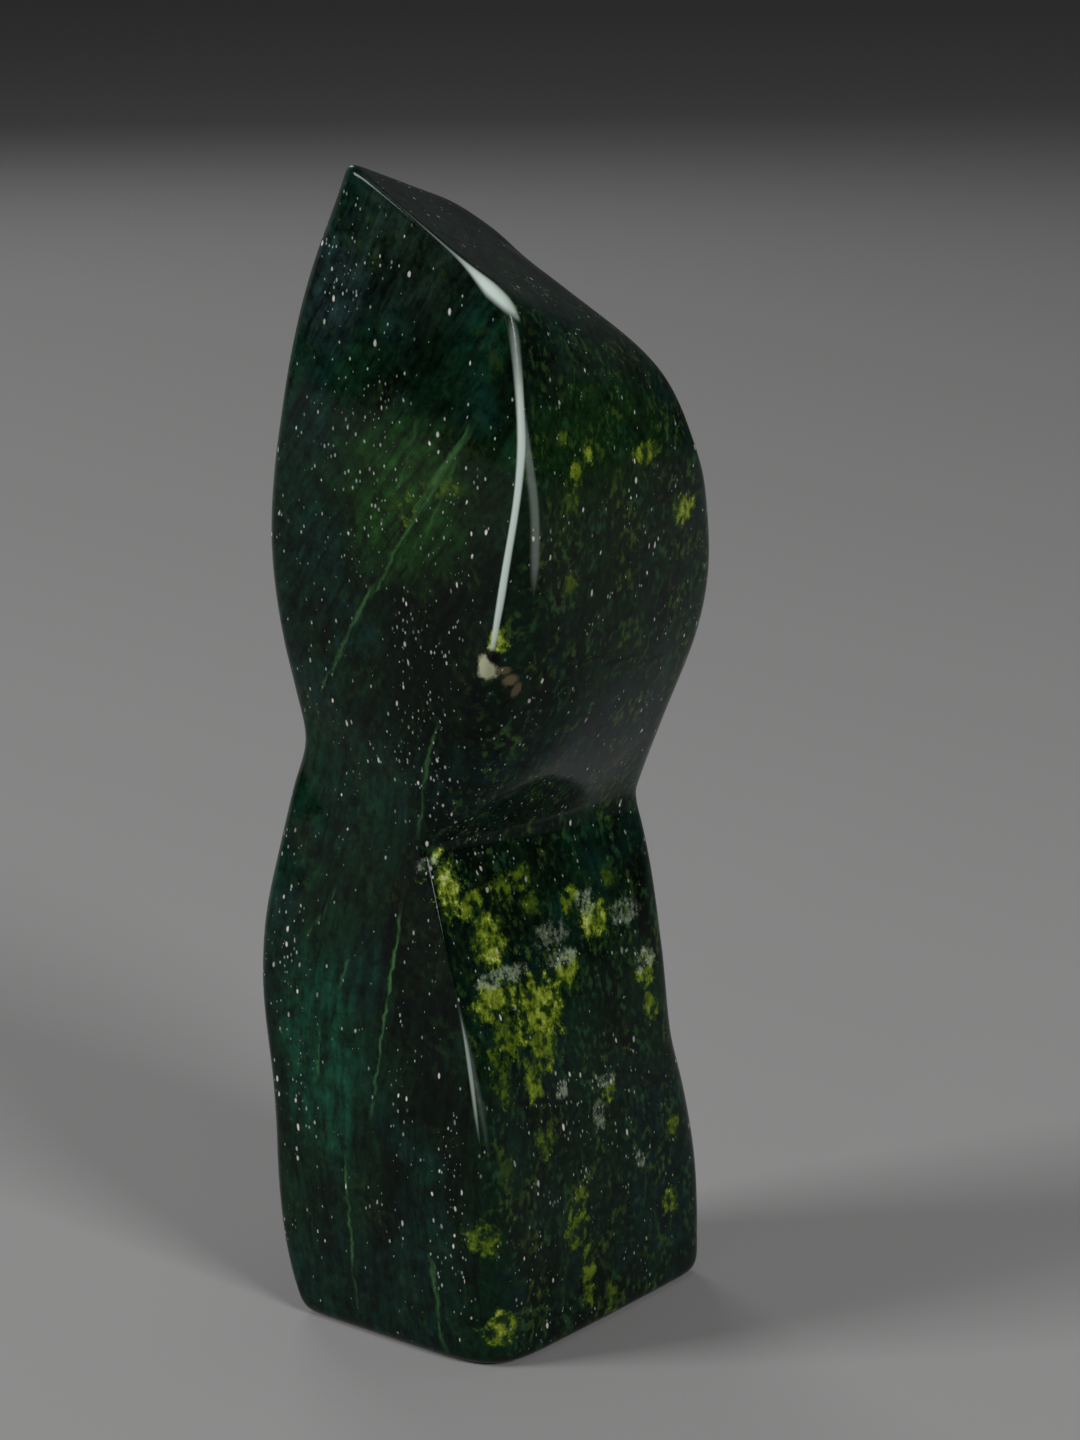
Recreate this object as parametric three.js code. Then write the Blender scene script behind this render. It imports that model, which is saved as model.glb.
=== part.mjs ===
// A free-form sculpture carved from one block of nephrite jade and polished all over.
//
// The block is a tall, uneven box. Four long faces wander in and out as they rise, a groove runs
// round the middle in a tilted plane, and a sloping cut ends the block in a point at the front left.
// On the right the groove is a sharp crease with an undercut above it. Elsewhere it is a soft waist.
// A narrow bevel takes off the edge between the front and the right, and fades out over the groove.
//
// Millimetres, +Z up. The origin is on the ground under the middle of the block. The front face
// looks along -Y and the right face along +X.
import * as THREE from "three";

// The sloping top and the groove are planes: the height where each crosses the block's axis, and how
// far it falls for each millimetre to the right and to the back.
const TOP = { height: 235.6, fallRight: 0.6, fallBack: 0.335 };
const GROOVE = { height: 115.4, fallRight: 0.5, fallBack: 0.018 };

// A face looks in one direction, in degrees counterclockwise from +X as seen from above. Its reach is
// how far it stands from the axis and its turn how many degrees it twists, each listed against the
// height above the groove. Its bow is how far it falls away at BOW_HALF_WIDTH from its middle line.
const BOW_HALF_WIDTH = 38;
const FACES = {
  front: {
    facing: -90,
    reach: [[-120, 37], [-50, 39], [-18, 36.3], [0, 34.8], [20, 37.6], [62, 41], [95, 39.6], [128, 36]],
    turn: [[-60, 0], [-40, -0.5], [0, -4.5], [30, -1], [60, 0]],
    bow: 0.9,
  },
  bevel: {
    facing: -40,
    reach: [
      ...[[-99, 46.8], [-65, 46.8], [-43, 44], [-21, 39.2], [0, 33.4]],
      ...[[27, 41.3], [49, 48.3], [74, 52], [100, 53.8], [127, 50.2]],
    ],
    turn: [[0, 0]],
    bow: 0,
  },
  lowRight: {
    facing: 0,
    reach: [[-102, 30.2], [-70, 28.6], [-45, 24.8], [-22, 19], [0, 11.6], [20, 5]],
    turn: [[-105, 1], [-50, 4], [0, -2.4]],
    bow: 0.6,
  },
  highRight: {
    facing: 0,
    reach: [[-20, 3], [0, 11.6], [27, 26], [49, 33.4], [77, 36.8], [94, 37.4], [127, 32.4]],
    turn: [[0, -2.4], [27, 4], [49, 5.5], [94, 6], [127, 5]],
    bow: 1.2,
  },
  back: {
    facing: 110,
    reach: [
      ...[[-102, 29.6], [-76, 32.3], [-60, 31], [-48, 29], [-30, 30.6]],
      ...[[0, 31.4], [28, 24.8], [66, 26.6], [84, 21.4], [98, 14.4], [124, 8]],
    ],
    turn: [[0, 0]],
    bow: 1.5,
  },
  left: {
    facing: 180,
    reach: [
      ...[[-132, 26], [-120, 32.2], [-80, 35], [-55, 37.1], [-13, 31.5]],
      ...[[0, 28.7], [10, 30.2], [38, 32], [75, 26.4], [100, 20.7], [128, 12.4]],
    ],
    turn: [[0, 0]],
    bow: 1.2,
  },
};

// How wide the polished rounding over each edge is, from face to face. The two edges of the bevel change
// as they rise, so their widths are listed against the height above the groove. The rim of the top
// changes round the block, so its widths are listed against the direction from the axis, in degrees.
const ROUNDING = {
  frontBevel: [[-102, 14], [-60, 4], [-6, 2], [6, 8], [30, 16], [44, 5], [52, 2], [120, 3]],
  rightBevel: [[-102, 14], [-60, 5], [-6, 3], [10, 10], [40, 20], [60, 10], [80, 4], [120, 4]],
  frontLeft: 6,
  backRight: 9,
  backLeft: 12,
  crease: 3,
  foot: 6,
  rim: [[-180, 6], [-130, 3], [-55, 3.5], [-20, 14], [30, 16], [60, 14], [120, 8], [180, 6]],
};

// The mesh: steps along each face, and up the block below the groove, above it and over the ends.
const ACROSS = { bevel: 6, right: 14, back: 12, left: 14, front: 16 };
const STEPS = { below: 14, above: 18, overRim: 6, overEnd: 10 };
const BEVEL_MARGIN = 1.2; // degrees by which the bevel's columns reach past its two edges
const RIM_DEPTH = 12; // how far before an end the level rings stop and the fan of rays begins
const OUTSIDE = 120; // a distance from the axis that is outside the block everywhere
const HALVINGS = 34; // of that distance, to find where a ray leaves the stone
const CORNER_ROUNDS = 12; // of closing in on the corner of two faces at one level

const JADE = { color: 0x12301f, roughness: 0.16, metalness: 0 };

const { lerp, degToRad, radToDeg, euclideanModulo } = THREE.MathUtils;
const easeIn = (t) => 1 - Math.cos((Math.PI / 2) * t);
const easeOut = (t) => Math.sin((Math.PI / 2) * t);
const easeBoth = (t) => easeIn(2 * t) / 2;

// A smooth curve through [place, value] pairs, level beyond its ends.
function along(pairs, place) {
  const last = pairs.length - 1;
  if (place <= pairs[0][0]) return pairs[0][1];
  if (place >= pairs[last][0]) return pairs[last][1];
  const i = pairs.findIndex((pair) => pair[0] > place) - 1;
  const slope = (j) => (pairs[j + 1][1] - pairs[j][1]) / (pairs[j + 1][0] - pairs[j][0]);
  const tangent = (j) => (slope(Math.max(j - 1, 0)) + slope(Math.min(j, last - 1))) / 2;
  const width = pairs[i + 1][0] - pairs[i][0];
  const t = (place - pairs[i][0]) / width;
  return (
    (2 * t ** 3 - 3 * t ** 2 + 1) * pairs[i][1] +
    (t ** 3 - 2 * t ** 2 + t) * width * tangent(i) +
    (3 * t ** 2 - 2 * t ** 3) * pairs[i + 1][1] +
    (t ** 3 - t ** 2) * width * tangent(i + 1)
  );
}

const planeHeight = (plane, x, y) => plane.height - plane.fallRight * x - plane.fallBack * y;
const aboveGroove = (p) => p.z - planeHeight(GROOVE, p.x, p.y);

// The larger of two distances, with the edge between them rounded over the given width.
function roundedMax(a, b, width) {
  const near = Math.max(width - Math.abs(a - b), 0) / width;
  return Math.max(a, b) + (near ** 3 * width) / 6;
}

const roundedMin = (a, b, width) => -roundedMax(-a, -b, width);

// Distance of a point outside one face, negative inside it.
function outsideFace(face, p) {
  const rise = aboveGroove(p);
  const angle = degToRad(face.facing + along(face.turn, rise));
  const out = p.x * Math.cos(angle) + p.y * Math.sin(angle);
  const across = p.y * Math.cos(angle) - p.x * Math.sin(angle);
  return out - along(face.reach, rise) + face.bow * (across / BOW_HALF_WIDTH) ** 2;
}

// Distance of a point outside the four walls, the two right faces being joined in the crease.
function outsideWalls(p) {
  const lowRight = outsideFace(FACES.lowRight, p);
  const highRight = outsideFace(FACES.highRight, p);
  const right = roundedMin(lowRight, highRight, ROUNDING.crease);
  const rise = aboveGroove(p);
  const bevelled = roundedMax(right, outsideFace(FACES.bevel, p), along(ROUNDING.rightBevel, rise));
  const frontRight = roundedMax(outsideFace(FACES.front, p), bevelled, along(ROUNDING.frontBevel, rise));
  const back = outsideFace(FACES.back, p);
  const left = outsideFace(FACES.left, p);
  const backLeft = roundedMax(back, left, ROUNDING.backLeft);
  const lastTwo = p.x < 0 ? ROUNDING.frontLeft : ROUNDING.backRight;
  return roundedMax(frontRight, backLeft, lastTwo);
}

// Distance of a point outside the whole stone: the walls, the sloping top and the ground.
function outsideStone(p) {
  const steepness = Math.hypot(TOP.fallRight, TOP.fallBack, 1);
  const overTop = (p.z - planeHeight(TOP, p.x, p.y)) / steepness;
  const rim = along(ROUNDING.rim, radToDeg(Math.atan2(p.y, p.x)));
  return roundedMax(roundedMax(outsideWalls(p), overTop, rim), -p.z, ROUNDING.foot);
}

// The point where a ray that starts inside a solid leaves it, given the distance outside that solid.
function leave(outside, origin, direction) {
  let inner = 0;
  let outer = OUTSIDE;
  const at = (distance) => direction.clone().multiplyScalar(distance).add(origin);
  for (let i = 0; i < HALVINGS; i++) {
    const middle = (inner + outer) / 2;
    if (outside(at(middle)) < 0) inner = middle;
    else outer = middle;
  }
  return at((inner + outer) / 2);
}

// Height of a level of the mesh over a place. Level 0 is the ground, 1 the groove and 2 the top.
function levelHeight(level, x, y) {
  const groove = planeHeight(GROOVE, x, y);
  return level < 1 ? level * groove : lerp(groove, planeHeight(TOP, x, y), level - 1);
}

// The direction from the axis to the corner of two faces, at one level.
function cornerAngle(level, faceA, faceB) {
  const p = new THREE.Vector3(0, 0, levelHeight(level, 0, 0));
  for (let i = 0; i < CORNER_ROUNDS; i++) {
    const [a, b] = [faceA, faceB].map((face) => {
      const rise = aboveGroove(p);
      const angle = degToRad(face.facing + along(face.turn, rise));
      return { x: Math.cos(angle), y: Math.sin(angle), reach: along(face.reach, rise) };
    });
    const cross = a.x * b.y - a.y * b.x;
    p.x = (a.reach * b.y - b.reach * a.y) / cross;
    p.y = (b.reach * a.x - a.reach * b.x) / cross;
    p.z = levelHeight(level, p.x, p.y);
  }
  return Math.atan2(p.y, p.x);
}

// The directions of the mesh's columns at one level, closest together at the corners. The bevel fades
// out at the groove, where its two edges change places, so they are taken in order.
function columnAngles(level) {
  const right = level < 1 ? FACES.lowRight : FACES.highRight;
  const margin = degToRad(BEVEL_MARGIN);
  const edges = [cornerAngle(level, FACES.front, FACES.bevel), cornerAngle(level, FACES.bevel, right)];
  const sides = [
    { from: Math.min(...edges) - margin, steps: ACROSS.bevel },
    { from: Math.max(...edges) + margin, steps: ACROSS.right },
    { from: cornerAngle(level, right, FACES.back), steps: ACROSS.back },
    { from: cornerAngle(level, FACES.back, FACES.left), steps: ACROSS.left },
    { from: cornerAngle(level, FACES.left, FACES.front), steps: ACROSS.front },
  ];
  const angles = [];
  sides.forEach(({ from, steps }, i) => {
    const next = sides[(i + 1) % sides.length].from;
    const sweep = euclideanModulo(next - from, 2 * Math.PI);
    for (let j = 0; j < steps; j++) angles.push(from + sweep * easeBoth(j / steps));
  });
  return angles;
}

// Where the rays along one level's plane leave a solid, starting from the axis.
function ringAt(level, outside) {
  const origin = new THREE.Vector3(0, 0, levelHeight(level, 0, 0));
  return columnAngles(level).map((angle) => {
    const direction = new THREE.Vector3(Math.cos(angle), Math.sin(angle), 0);
    direction.z = levelHeight(level, direction.x, direction.y) - origin.z;
    return leave(outside, origin, direction);
  });
}

// The rings that carry the mesh from its last level ring over an end: out to the rim, then in to the
// middle. Their rays fan out from the axis towards points on the walls and on the end's flat face.
function endRings(endLevel, lastLevel) {
  const origin = new THREE.Vector3(0, 0, levelHeight(lastLevel, 0, 0));
  const middle = new THREE.Vector3(0, 0, levelHeight(endLevel, 0, 0));
  const lastRing = ringAt(lastLevel, outsideStone);
  const rim = ringAt(endLevel, outsideWalls);
  const fan = (target) => leave(outsideStone, origin, target.sub(origin).normalize());
  const rings = [];
  for (let i = 1; i <= STEPS.overRim; i++) {
    const share = easeOut(i / STEPS.overRim);
    rings.push(rim.map((corner, j) => fan(lastRing[j].clone().lerp(corner, share))));
  }
  for (let i = 1; i < STEPS.overEnd; i++) {
    const share = easeIn(i / STEPS.overEnd);
    rings.push(rim.map((corner) => fan(corner.clone().lerp(middle, share))));
  }
  return rings;
}

// Every ring of the mesh from the middle of the foot to the middle of the top.
function stoneRings() {
  const lowest = RIM_DEPTH / GROOVE.height;
  const highest = 2 - RIM_DEPTH / (TOP.height - GROOVE.height);
  const levels = [];
  for (let i = 0; i < STEPS.below; i++) levels.push(lerp(lowest, 1, easeOut(i / STEPS.below)));
  for (let i = 0; i <= STEPS.above; i++) levels.push(lerp(1, highest, easeIn(i / STEPS.above)));
  const walls = levels.map((level) => ringAt(level, outsideStone));
  return [...endRings(0, lowest).reverse(), ...walls, ...endRings(2, highest)];
}

// The closed skin over the rings, with its box centred on the origin and standing on the ground.
function stoneGeometry() {
  const rings = stoneRings();
  const columns = rings[0].length;
  const points = rings.flat();
  const footMiddle = points.length;
  const topMiddle = footMiddle + 1;
  const lastRing = footMiddle - columns;
  points.push(new THREE.Vector3(0, 0, 0), new THREE.Vector3(0, 0, TOP.height));
  const triangles = [];
  for (let c = 0; c < columns; c++) {
    const next = (c + 1) % columns;
    for (let base = 0; base < lastRing; base += columns) {
      const above = base + columns;
      triangles.push(base + c, base + next, above + next, base + c, above + next, above + c);
    }
    triangles.push(footMiddle, next, c, topMiddle, lastRing + c, lastRing + next);
  }
  const geometry = new THREE.BufferGeometry().setFromPoints(points);
  geometry.setIndex(triangles);
  geometry.computeBoundingBox();
  const centre = geometry.boundingBox.getCenter(new THREE.Vector3());
  geometry.translate(-centre.x, -centre.y, 0);
  geometry.computeVertexNormals();
  return geometry;
}

const stone = new THREE.Mesh(stoneGeometry(), new THREE.MeshStandardMaterial(JADE));
stone.name = "jade_stone";

const sculpture = new THREE.Group();
sculpture.add(stone);

export default sculpture;
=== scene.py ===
# %% [markdown]
# # A polished jade sculpture
# The real object is one block of dark green nephrite jade, about 25 cm tall. It is carved to a free
# form with four long faces, a tilted groove round its middle and a sloping cut that ends in a point,
# and it is polished all over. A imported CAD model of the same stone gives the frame: its place and its
# size are fixed, and everything here is built round it, in metres.

# %% Load the frame
import math
import bpy
import numpy as np
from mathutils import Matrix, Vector


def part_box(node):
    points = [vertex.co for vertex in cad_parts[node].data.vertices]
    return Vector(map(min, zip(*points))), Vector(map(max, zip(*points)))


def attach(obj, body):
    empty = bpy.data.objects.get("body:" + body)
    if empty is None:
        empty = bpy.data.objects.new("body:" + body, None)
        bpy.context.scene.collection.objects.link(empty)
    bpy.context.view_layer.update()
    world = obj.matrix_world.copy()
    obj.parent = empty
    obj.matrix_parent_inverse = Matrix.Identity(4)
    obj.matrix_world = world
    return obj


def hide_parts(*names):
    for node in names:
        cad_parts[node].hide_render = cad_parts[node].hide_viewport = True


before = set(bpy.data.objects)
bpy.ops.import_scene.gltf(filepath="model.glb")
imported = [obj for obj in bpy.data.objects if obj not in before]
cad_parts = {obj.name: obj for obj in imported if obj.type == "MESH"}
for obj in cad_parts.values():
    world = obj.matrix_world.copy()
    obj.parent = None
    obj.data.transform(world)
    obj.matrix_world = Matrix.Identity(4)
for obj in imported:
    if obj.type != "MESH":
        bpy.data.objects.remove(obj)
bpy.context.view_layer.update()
stone_low, stone_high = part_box("jade_stone")
MM = 0.001
print("CAD box in mm:", [round(side / MM, 1) for side in stone_high - stone_low])

# %% [markdown]
# ## The camera
# The stone was seen from in front of its right-hand edge, from a little above its top, with a long
# lens that keeps its sides nearly parallel. A camera looks along its own -Z axis, so it is stood up by
# 90 degrees, tipped down by its pitch and then turned about the vertical.

# %% Place the camera
CAMERA_PLACE = (476.8, -585.9, 306.0)  # mm
CAMERA_PITCH = 13.0                    # degrees below the horizon
CAMERA_TURN = 38.5                     # degrees about the vertical
CAMERA_LENS = 90.0                     # mm, on a picture side of 36 mm

camera_data = bpy.data.cameras.new("camera")
camera_data.lens = CAMERA_LENS
camera_data.clip_start = 0.01
camera = bpy.data.objects.new("camera", camera_data)
bpy.context.scene.collection.objects.link(camera)
camera.location = Vector(CAMERA_PLACE) * MM
camera.rotation_euler = (math.radians(90 - CAMERA_PITCH), 0, math.radians(CAMERA_TURN))
bpy.context.scene.camera = camera
print("camera stands", round(camera.location.length, 3), "m from the stone's foot")

# %% [markdown]
# ## The rule behind the form
# A carver thinks of such a stone as a few large faces that meet in edges. So does this script: each
# face is a rule that says how far a point stands outside it, and the stone is the space inside all of
# them at once. A smooth maximum joins two faces and rounds the edge between them, as the polishing
# wheel does. Sculpting by hand could reach the same form, but a rule can be changed with one number,
# and it gives every point of the skin at any fineness.

# %% A smooth curve through a list of knots
def along(pairs, place):
    """The value at a place on a smooth curve through [place, value] pairs, level beyond its ends."""
    knots, values = np.array(pairs, float).T
    slopes = np.diff(values) / np.diff(knots)
    tangents = (np.append(slopes[0], slopes) + np.append(slopes, slopes[-1])) / 2
    place = np.clip(place, knots[0], knots[-1])
    i = np.clip(np.searchsorted(knots, place, side="right") - 1, 0, len(knots) - 2)
    width = knots[i + 1] - knots[i]
    t = (place - knots[i]) / width
    start = (2 * t**3 - 3 * t**2 + 1) * values[i] + (t**3 - 2 * t**2 + t) * width * tangents[i]
    end = (3 * t**2 - 2 * t**3) * values[i + 1] + (t**3 - t**2) * width * tangents[i + 1]
    return start + end


# %% The sloping top and the groove
# Each is a plane: its height over the axis, and how far it falls per mm to the right and to the back.
TOP = {"height": 235.6, "fall_right": 0.6, "fall_back": 0.335}
GROOVE = {"height": 115.4, "fall_right": 0.5, "fall_back": 0.018}


def plane_height(plane, x, y):
    return plane["height"] - plane["fall_right"] * x - plane["fall_back"] * y


def above_groove(p):
    return p[..., 2] - plane_height(GROOVE, p[..., 0], p[..., 1])


print("the top's slope:", round(math.degrees(math.atan(math.hypot(TOP["fall_right"], TOP["fall_back"]))), 1), "degrees")

# %% [markdown]
# ### The long faces
# A face looks in one direction, counted in degrees from +X. Its reach is how far it stands from the
# axis, in mm, and its turn how many degrees it twists, both listed against the height above the
# groove. Its bow is how far it falls away 38 mm from its middle line. The right side is two faces, one
# below the groove and one above it, and where they cross lies the sharp crease.

# %% List the faces
BOW_HALF_WIDTH = 38
STRAIGHT = [[-1, 0], [1, 0]]
FACES = {
    "front": {
        "facing": -90,
        "reach": [[-120, 37], [-50, 39], [-18, 36.3], [0, 34.8], [20, 37.6], [62, 41], [95, 40.3],
                  [128, 37.4]],
        "turn": [[-60, 0], [-40, -0.5], [0, -4.5], [30, -1], [60, 0]],
        "bow": 0.9,
    },
    "bevel": {
        "facing": -40,
        "reach": [[-99, 46.8], [-65, 46.8], [-43, 44], [-21, 39.2], [0, 33.4], [27, 41.6],
                  [49, 48.7], [74, 52.8], [100, 54.5], [127, 51.2]],
        "turn": STRAIGHT,
        "bow": 0,
    },
    "low right": {
        "facing": 0,
        "reach": [[-102, 30.2], [-70, 28.6], [-45, 24.8], [-22, 19], [0, 11.6], [20, 5]],
        "turn": [[-105, 1], [-50, 4], [0, -2.4]],
        "bow": 0.6,
    },
    "high right": {
        "facing": 0,
        "reach": [[-20, 3], [0, 11.6], [27, 26], [49, 33.4], [77, 36.8], [94, 37.4], [127, 32.4]],
        "turn": [[0, -2.4], [27, 4], [49, 5.5], [94, 6], [127, 5]],
        "bow": 1.2,
    },
    "back": {
        "facing": 110,
        "reach": [[-102, 29.6], [-76, 32.3], [-60, 31], [-48, 29], [-30, 30.6], [0, 31.4],
                  [28, 24.8], [66, 26.6], [84, 21.4], [98, 14.4], [124, 8]],
        "turn": STRAIGHT,
        "bow": 1.5,
    },
    "left": {
        "facing": 180,
        "reach": [[-132, 26], [-120, 32.2], [-80, 35], [-55, 37.1], [-13, 31.5], [0, 28.7],
                  [10, 30.2], [38, 32], [75, 26.4], [100, 20.7], [128, 11.8], [136, 9.4]],
        "turn": STRAIGHT,
        "bow": 1.2,
    },
}


def outside_face(name, p):
    """How far points stand outside one face, negative inside it."""
    face = FACES[name]
    rise = above_groove(p)
    angle = np.radians(face["facing"] + along(face["turn"], rise))
    out = p[..., 0] * np.cos(angle) + p[..., 1] * np.sin(angle)
    across = p[..., 1] * np.cos(angle) - p[..., 0] * np.sin(angle)
    return out - along(face["reach"], rise) + face["bow"] * (across / BOW_HALF_WIDTH) ** 2


print(len(FACES), "long faces")

# %% [markdown]
# ### Edges rounded by polishing
# The wheel rounds every edge, some more than others. The width given here is how far from the edge,
# measured as the difference of the two distances, the rounding starts. Over the groove the bevel
# between front and right dissolves in a soft fold, so its two widths change with the height. The rim
# of the top changes with the direction from the axis.

# %% Join the faces
ROUNDING = {
    "front to bevel": [[-102, 14], [-60, 4], [-6, 2], [6, 8], [30, 16], [45, 4], [53, 1.3],
                       [100, 1.2], [112, 2], [128, 5]],
    "bevel to right": [[-102, 14], [-60, 5], [-6, 3], [10, 10], [40, 20], [60, 12], [78, 2],
                       [112, 1.6], [128, 6]],
    "front to left": 6,
    "back to right": 9,
    "back to left": 12,
    "crease": 3,
    "foot": 6,
    "rim": [[-180, 6], [-125, 6], [-108, 5], [-92, 2], [-60, 3], [-20, 14], [30, 16], [60, 14], [120, 8], [180, 6]],
}


def rounded_max(a, b, width):
    near = np.maximum(width - np.abs(a - b), 0) / width
    return np.maximum(a, b) + near**3 * width / 6


def outside_walls(p):
    rise = above_groove(p)
    right = -rounded_max(-outside_face("low right", p), -outside_face("high right", p),
                         ROUNDING["crease"])
    bevelled = rounded_max(right, outside_face("bevel", p), along(ROUNDING["bevel to right"], rise))
    front = outside_face("front", p)
    front_right = rounded_max(front, bevelled, along(ROUNDING["front to bevel"], rise))
    back_left = rounded_max(outside_face("back", p), outside_face("left", p),
                            ROUNDING["back to left"])
    last_two = np.where(p[..., 0] < 0, ROUNDING["front to left"], ROUNDING["back to right"])
    return rounded_max(front_right, back_left, last_two)


def over_top(p):
    steepness = math.hypot(TOP["fall_right"], TOP["fall_back"], 1)
    return (p[..., 2] - plane_height(TOP, p[..., 0], p[..., 1])) / steepness


def outside_stone(p):
    rim = along(ROUNDING["rim"], np.degrees(np.arctan2(p[..., 1], p[..., 0])))
    return rounded_max(rounded_max(outside_walls(p), over_top(p), rim), -p[..., 2],
                       ROUNDING["foot"])


axis_point = np.array([0.0, 0.0, 120.0])
print("the axis runs", round(-float(outside_stone(axis_point)), 1), "mm inside the stone")

# %% [markdown]
# ## From the rule to a mesh
# Rays run out from the axis, and each one is halved again and again to find where it leaves the
# stone. The rays lie in tilted levels that turn from flat at the ground, through the slope of the
# groove, to the slope of the top, so that a row of vertices follows the crease. The columns crowd
# together at the edges, where the skin bends most. A voxel remesh would be simpler, but it would blur
# the crease and the narrow bevel.

# %% Find where rays leave the stone
OUTSIDE = 120.0
HALVINGS = 30


def leave(outside, origins, directions):
    inner = np.zeros(directions.shape[:-1])
    outer = np.full(directions.shape[:-1], OUTSIDE)
    for _ in range(HALVINGS):
        middle = (inner + outer) / 2
        is_inside = outside(origins + directions * middle[..., None]) < 0
        inner = np.where(is_inside, middle, inner)
        outer = np.where(is_inside, outer, middle)
    return origins + directions * ((inner + outer) / 2)[..., None]


def level_height(level, x, y):
    """Level 0 is the ground, 1 the groove and 2 the top."""
    groove = plane_height(GROOVE, x, y)
    top = plane_height(TOP, x, y)
    return np.where(level < 1, level * groove, groove + (level - 1) * (top - groove))


print("a ray's end is known to", OUTSIDE / 2**HALVINGS, "mm")

# %% Spread the columns round the stone
ACROSS = {"bevel": 26, "right": 96, "back": 60, "left": 76, "front": 104}
BEVEL_MARGIN = math.radians(1.2)
CORNER_ROUNDS = 12


def corner_angle(levels, name_a, name_b):
    """The direction from the axis to the corner of two faces, at each level."""
    p = np.zeros((len(levels), 3))
    p[:, 2] = level_height(levels, 0, 0)
    for _ in range(CORNER_ROUNDS):
        rise = above_groove(p)
        angle_a = np.radians(FACES[name_a]["facing"] + along(FACES[name_a]["turn"], rise))
        angle_b = np.radians(FACES[name_b]["facing"] + along(FACES[name_b]["turn"], rise))
        reach_a = along(FACES[name_a]["reach"], rise)
        reach_b = along(FACES[name_b]["reach"], rise)
        cross = np.sin(angle_b - angle_a)
        p[:, 0] = (reach_a * np.sin(angle_b) - reach_b * np.sin(angle_a)) / cross
        p[:, 1] = (reach_b * np.cos(angle_a) - reach_a * np.cos(angle_b)) / cross
        p[:, 2] = level_height(levels, p[:, 0], p[:, 1])
    return np.arctan2(p[:, 1], p[:, 0])


def column_angles(levels):
    levels = np.atleast_1d(levels)
    below = levels < 1
    bevel_right = np.where(below, corner_angle(levels, "bevel", "low right"),
                           corner_angle(levels, "bevel", "high right"))
    right_back = np.where(below, corner_angle(levels, "low right", "back"),
                          corner_angle(levels, "high right", "back"))
    front_bevel = corner_angle(levels, "front", "bevel")
    starts = {
        "bevel": np.minimum(front_bevel, bevel_right) - BEVEL_MARGIN,
        "right": np.maximum(front_bevel, bevel_right) + BEVEL_MARGIN,
        "back": right_back,
        "left": corner_angle(levels, "back", "left"),
        "front": corner_angle(levels, "left", "front"),
    }
    names = list(starts)
    angles = []
    for name, following in zip(names, names[1:] + names[:1]):
        sweep = np.mod(starts[following] - starts[name], 2 * math.pi)
        steps = np.arange(ACROSS[name]) / ACROSS[name]
        shares = (1 - np.cos(math.pi * steps)) / 2
        angles.append(starts[name][:, None] + sweep[:, None] * shares)
    return np.concatenate(angles, axis=1)


print("columns:", sum(ACROSS.values()))

# %% Lay the rings
STEPS = {"below": 84, "above": 110, "over rim": 14, "over end": 24}
RIM_DEPTH = 12  # mm before an end, where the level rings stop and a fan of rays begins


def rings_at(levels, outside):
    levels = np.atleast_1d(levels)
    angles = column_angles(levels)
    directions = np.stack([np.cos(angles), np.sin(angles), np.zeros_like(angles)], axis=-1)
    origins = np.zeros((len(levels), 1, 3))
    origins[:, 0, 2] = level_height(levels, 0, 0)
    column_levels = levels[:, None]
    directions[..., 2] = level_height(column_levels, directions[..., 0], directions[..., 1])
    directions[..., 2] -= origins[..., 2]
    return leave(outside, origins, directions)


def end_rings(end_level, last_level):
    """The rings that carry the mesh over an end: out to the rim, then in to the middle."""
    origin = np.array([0, 0, float(level_height(last_level, 0, 0))])
    middle = np.array([0, 0, float(level_height(end_level, 0, 0))])
    last_ring = rings_at(last_level, outside_stone)[0]
    rim = rings_at(end_level, outside_walls)[0]
    rim_steps = np.arange(1, STEPS["over rim"] + 1) / STEPS["over rim"]
    end_steps = np.arange(1, STEPS["over end"]) / STEPS["over end"]
    to_rim = np.sin(math.pi / 2 * rim_steps)[:, None, None]
    to_middle = (1 - np.cos(math.pi / 2 * end_steps))[:, None, None]
    targets = np.concatenate([last_ring + (rim - last_ring) * to_rim, rim + (middle - rim) * to_middle])
    directions = targets - origin
    directions /= np.linalg.norm(directions, axis=-1, keepdims=True)
    return leave(outside_stone, origin, directions)


lowest = RIM_DEPTH / GROOVE["height"]
highest = 2 - RIM_DEPTH / (TOP["height"] - GROOVE["height"])
below_shares = np.sin(math.pi / 2 * np.arange(STEPS["below"]) / STEPS["below"])
above_shares = 1 - np.cos(math.pi / 2 * np.arange(STEPS["above"] + 1) / STEPS["above"])
levels = np.concatenate([lowest + (1 - lowest) * below_shares, 1 + (highest - 1) * above_shares])
rings = np.concatenate([end_rings(0, lowest)[::-1], rings_at(levels, outside_stone), end_rings(2, highest)])
print("rings:", rings.shape[0])

# %% Sew the rings into one closed skin
ring_count, column_count = rings.shape[:2]
points = rings.reshape(-1, 3)
foot_middle = len(points)
top_middle = foot_middle + 1
points = np.vstack([points, [0, 0, 0], [0, 0, TOP["height"]]])
columns = np.arange(column_count)
following = (columns + 1) % column_count
bases = (np.arange(ring_count - 1) * column_count)[:, None]
corners = [bases + columns, bases + following, bases + column_count + following,
           bases + column_count + columns]
quads = np.stack(corners, axis=-1).reshape(-1, 4)
last_ring = foot_middle - column_count
faces = [tuple(quad) for quad in quads.tolist()]
faces += [(foot_middle, int(b), int(a)) for a, b in zip(columns, following)]
faces += [(top_middle, int(last_ring + a), int(last_ring + b)) for a, b in zip(columns, following)]

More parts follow.
